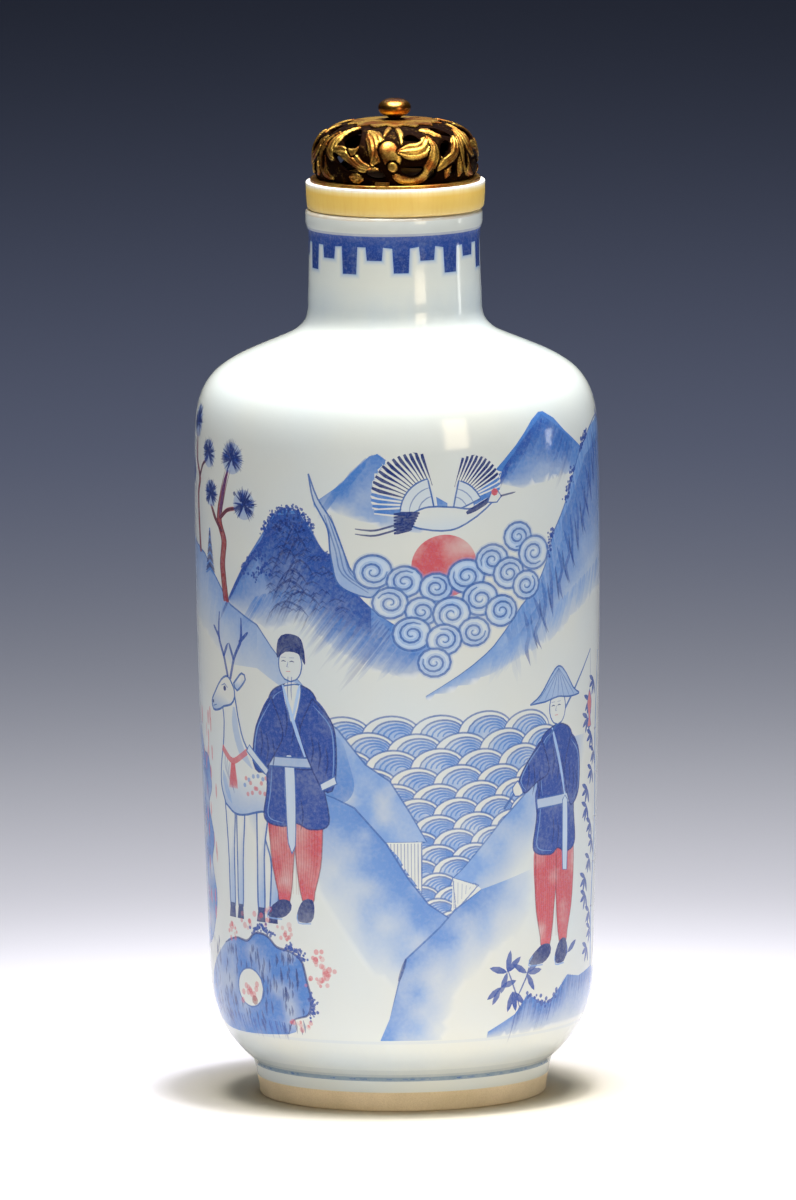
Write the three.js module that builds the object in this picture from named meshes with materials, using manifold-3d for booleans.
// A round porcelain snuff bottle with its stopper in place: the hollow bottle, a disc-shaped collar
// on its lip, a brass plate, an openwork domed cap and a bead finial.
// Millimetres, +Z up. The origin is the centre of the foot's resting face; the front faces -Y.

import * as THREE from 'three';
import { mergeVertices } from 'three/addons/utils/BufferGeometryUtils.js';
import Module from 'manifold-3d';

// Bottle, outside
const bottleHeight = 79.5;
const footRadius = 12.8;
const footHeight = 3.1;
const footTopRadius = 13.3;
const waistRadius = 17.1;       // where the underside turns into the wall
const waistHeight = 10.8;
const shoulderRadius = 17.95;
const shoulderHeight = 60;
const shoulderEnd = [9.98, 68.07];
const neckBaseRadius = 7.75;
const neckBaseHeight = 71.6;
const neckRadius = 7.62;
const lipRadius = 7.9;
const lipHeight = 1.5;          // depth of the flared band below the mouth
const lipRound = 0.35;

// Bottle, inside
const wall = 2.6;
const boreRadius = 4.3;
const floorHeight = 4.6;
const footRecess = 1.4;
const footRingWidth = 1.7;

// Stopper
const stopperShift = 0.15;      // it stands a hair to the right of the bottle's axis
const collarRadius = 8.0;
const collarHeight = 2.5;
const collarEdge = 0.35;
const plateRadius = 7.6;
const plateThickness = 0.3;
const lugSize = [1.25, 0.2, 0.35];
const lugAngle = -9;            // degrees from the front
const domeRadius = 7.48;
const domeFootRadius = 7.1;
const domeBelly = 1.2;          // height of the widest ring above the dome's foot
const domeHeight = 5.2;
const domeSquareness = 3.2;     // exponent of the dome's superellipse
const domeWall = 0.6;
const beadRadius = 1.47;
const beadHalfHeight = 0.84;
const beadRise = 0.99;          // bead's centre above the dome
const stemRadius = 0.55;

// Openings of the cap's fretwork, repeated round it: angle from the middle of the sector in degrees,
// height above the dome's foot, length, width, tilt in degrees, and how far it bows
const sectors = 3;
const openings = [
  [-37, 3.85, 2.4, 1.35, -14, 0.1],
  [-38, 1.95, 3.3, 0.75, -27, -0.2],
  [-14, 0.95, 1.9, 0.8, -8, 0],
  [13.5, 3.95, 1.8, 0.5, -4, 0.15],
  [12, 1.5, 2.1, 0.95, 0, -0.3],
  [40, 3.05, 1.8, 1.0, 38, 0.1],
  [45, 4.25, 2.0, 0.55, -12, 0.15],
  [27, 0.85, 1.15, 0.65, 55, 0],
  [45, 1.15, 1.2, 0.7, 76, 0],
  [60, 2.1, 1.9, 0.45, 90, 0.1],
];

const roundSteps = 48;
const capSides = 36;
const beadSides = 24;
const openingSteps = 8;
const degree = Math.PI / 180;

const wasm = await Module();
wasm.setup();

function toSolid(geometry) {
  geometry.deleteAttribute('normal');
  geometry.deleteAttribute('uv');
  const merged = mergeVertices(geometry, 1e-4);
  const corners = merged.index.array;
  const triangles = [];
  for (let i = 0; i < corners.length; i += 3) {
    const [a, b, c] = corners.slice(i, i + 3);
    if (a !== b && b !== c && c !== a) triangles.push(a, b, c);
  }
  return new wasm.Manifold(new wasm.Mesh({
    numProp: 3,
    vertProperties: new Float32Array(merged.attributes.position.array),
    triVerts: new Uint32Array(triangles),
  }));
}

function toMesh(name, solid, material) {
  const { vertProperties, triVerts } = solid.getMesh();
  const geometry = new THREE.BufferGeometry();
  geometry.setAttribute('position', new THREE.BufferAttribute(vertProperties, 3));
  geometry.setIndex(new THREE.BufferAttribute(triVerts, 1));
  geometry.computeVertexNormals();
  const mesh = new THREE.Mesh(geometry, material);
  mesh.name = name;
  return mesh;
}

// Turns an outline of [radius, height] points round +Z. It runs up the outside and back down the inside.
function turned(outline, sides = roundSteps) {
  const points = outline.map(([r, z]) => new THREE.Vector2(r, z));
  return toSolid(new THREE.LatheGeometry(points, sides).rotateX(Math.PI / 2));
}

function bezier(from, leave, arrive, to, steps) {
  const [a, b, c, d] = [from, leave, arrive, to].map(([r, z]) => new THREE.Vector2(r, z));
  return new THREE.CubicBezierCurve(a, b, c, d).getPoints(steps).map((p) => [p.x, p.y]);
}

// A quarter round between a vertical side and a level face, from one angle to the other
function quarter(r, z, radius, fromAngle, toAngle, steps = 3) {
  const points = [];
  for (let i = 0; i <= steps; i += 1) {
    const angle = (fromAngle + (toAngle - fromAngle) * i / steps) * degree;
    points.push([r + radius * Math.cos(angle), z + radius * Math.sin(angle)]);
  }
  return points;
}

function bottleOutside() {
  const footStart = [footTopRadius, footHeight];
  const waist = [waistRadius, waistHeight];
  const shoulder = [shoulderRadius, shoulderHeight];
  const neckBase = [neckBaseRadius, neckBaseHeight];
  const lipFoot = bottleHeight - lipHeight - 0.8;
  return [
    [footRadius - 0.15, 0],
    [footRadius, 0.15],
    ...bezier(footStart, [15.0, 4.6], [16.95, 6.6], waist, 6),
    ...bezier(waist, [17.6, 26], [18.35, 47], shoulder, 5),
    ...bezier(shoulder, [17.68, 65.31], [15.3, 65.83], shoulderEnd, 7),
    ...bezier(shoulderEnd, [7.64, 69.06], [neckBaseRadius, 70.09], neckBase, 5),
    ...bezier([neckRadius, lipFoot], [neckRadius, lipFoot + 0.6], [lipRadius, lipFoot + 0.7],
      [lipRadius, lipFoot + 1.4], 3),
    ...quarter(lipRadius - lipRound, bottleHeight - lipRound, lipRound, 0, 90),
  ];
}

function bottleInside() {
  const innerShoulder = shoulderRadius - wall;
  const innerWaist = waistRadius - wall;
  return [
    [boreRadius + 0.3, bottleHeight],
    [boreRadius, bottleHeight - 0.3],
    [boreRadius, shoulderEnd[1] + 0.6],
    ...bezier([boreRadius + 1.6, shoulderEnd[1] - 1.4], [innerShoulder - 3, 64.2],
      [innerShoulder, 63.2], [innerShoulder, shoulderHeight - 1.5], 4),
    ...bezier([innerWaist, waistHeight + 1.5], [innerWaist - 0.2, 7.4], [12, floorHeight + 0.2],
      [8, floorHeight], 4),
    [0, floorHeight],
  ];
}

function footRecessOutline() {
  const ringInner = footRadius - footRingWidth;
  return [
    [0, footRecess],
    [ringInner - 0.6, footRecess],
    [ringInner, 0.15],
    [ringInner + 0.1, 0],
  ];
}

function makeBottle() {
  return turned([...footRecessOutline(), ...bottleOutside(), ...bottleInside()]);
}

function makeCollar() {
  return turned([
    [0, 0],
    ...quarter(collarRadius - collarEdge - 0.1, collarEdge, collarEdge, -90, 0),
    ...quarter(collarRadius - 0.12, collarHeight - 0.12, 0.12, 0, 90, 1),
    [0, collarHeight],
  ]);
}

function makePlate() {
  const plate = turned([[0, 0], [plateRadius, 0], [plateRadius, plateThickness], [0, plateThickness]]);
  const [width, depth, height] = lugSize;
  const lug = new THREE.BoxGeometry(width, depth, height + plateThickness / 2);
  lug.translate(0, -(plateRadius - depth / 2 - 0.03), (height + plateThickness * 1.5) / 2);
  lug.rotateZ(lugAngle * degree);
  return plate.add(toSolid(lug));
}

// The dome's side and top as [radius, height], shrunk by inset for its inner face
function domeOutline(inset, steps, crownSteps) {
  const points = [];
  for (let i = 0; i <= steps; i += 1) {
    const lift = domeBelly * (1 - i / steps);
    const narrowing = (domeRadius - domeFootRadius) * (lift / domeBelly) ** 2;
    points.push([domeRadius - inset - narrowing, domeBelly - lift]);
  }
  const rise = domeHeight - domeBelly - inset;
  for (let i = 1; i <= crownSteps; i += 1) {
    const angle = (i / crownSteps) * Math.PI / 2;
    const r = (domeRadius - inset) * Math.cos(angle) ** (2 / domeSquareness);
    points.push([i === crownSteps ? 0 : r, domeBelly + rise * Math.sin(angle) ** (2 / domeSquareness)]);
  }
  return points;
}

// A leaf-shaped opening, cut radially through the dome's wall
function openingCutter([angle, height, length, width, tilt, bow]) {
  const shape = new THREE.Shape();
  for (let i = 0; i < openingSteps; i += 1) {
    const turn = (i / openingSteps) * 2 * Math.PI;
    const along = Math.cos(turn) * length / 2;
    const across = Math.sin(turn) * width / 2 + bow * (1 - (2 * along / length) ** 2);
    const x = along * Math.cos(tilt * degree) - across * Math.sin(tilt * degree);
    const y = along * Math.sin(tilt * degree) + across * Math.cos(tilt * degree);
    if (i === 0) shape.moveTo(x, y + height);
    else shape.lineTo(x, y + height);
  }
  const reach = [domeRadius - 3.5, domeRadius + 0.5];
  const geometry = new THREE.ExtrudeGeometry(shape, { depth: reach[1] - reach[0], bevelEnabled: false });
  const position = geometry.attributes.position;
  for (let i = 0; i < position.count; i += 1) {
    const around = angle * degree + position.getX(i) / domeRadius;
    const r = reach[0] + position.getZ(i);
    position.setXYZ(i, r * Math.sin(around), -r * Math.cos(around), position.getY(i));
  }
  return toSolid(geometry);
}

function makeDome() {
  const outer = domeOutline(0, 2, 7);
  const inner = domeOutline(domeWall, 1, 4).reverse();
  let dome = turned([...outer, ...inner, outer[0]], capSides);
  for (let sector = 0; sector < sectors; sector += 1) {
    for (const [angle, ...rest] of openings) {
      dome = dome.subtract(openingCutter([angle + sector * 360 / sectors, ...rest]));
    }
  }
  return dome;
}

function makeBead() {
  const outline = [[0, 0], [stemRadius, 0]];
  const steps = 8;
  const start = Math.asin(stemRadius / beadRadius);
  for (let i = 0; i <= steps; i += 1) {
    const angle = start + (Math.PI - start) * i / steps;
    const r = beadRadius * Math.sin(angle);
    outline.push([i === steps ? 0 : r, beadRise - beadHalfHeight * Math.cos(angle)]);
  }
  return turned(outline, beadSides);
}

function finish(color, roughness, metalness = 0) {
  return new THREE.MeshStandardMaterial({ color, roughness, metalness });
}

const gilt = finish(0xb98a35, 0.4, 1);
const stopper = new THREE.Group();
stopper.position.set(stopperShift, 0, bottleHeight);

const collar = toMesh('collar', makeCollar(), finish(0xf0c868, 0.35));
const plate = toMesh('base_plate', makePlate(), gilt);
const dome = toMesh('cap_dome', makeDome(), gilt.clone());
const bead = toMesh('bead_finial', makeBead(), finish(0xc88c3c, 0.3, 1));
plate.position.z = collarHeight;
dome.position.z = collarHeight + plateThickness;
bead.position.z = collarHeight + plateThickness + domeHeight;
stopper.add(collar, plate, dome, bead);

const group = new THREE.Group();
group.add(toMesh('bottle', makeBottle(), finish(0xdfe4e2, 0.12)), stopper);

export default group;
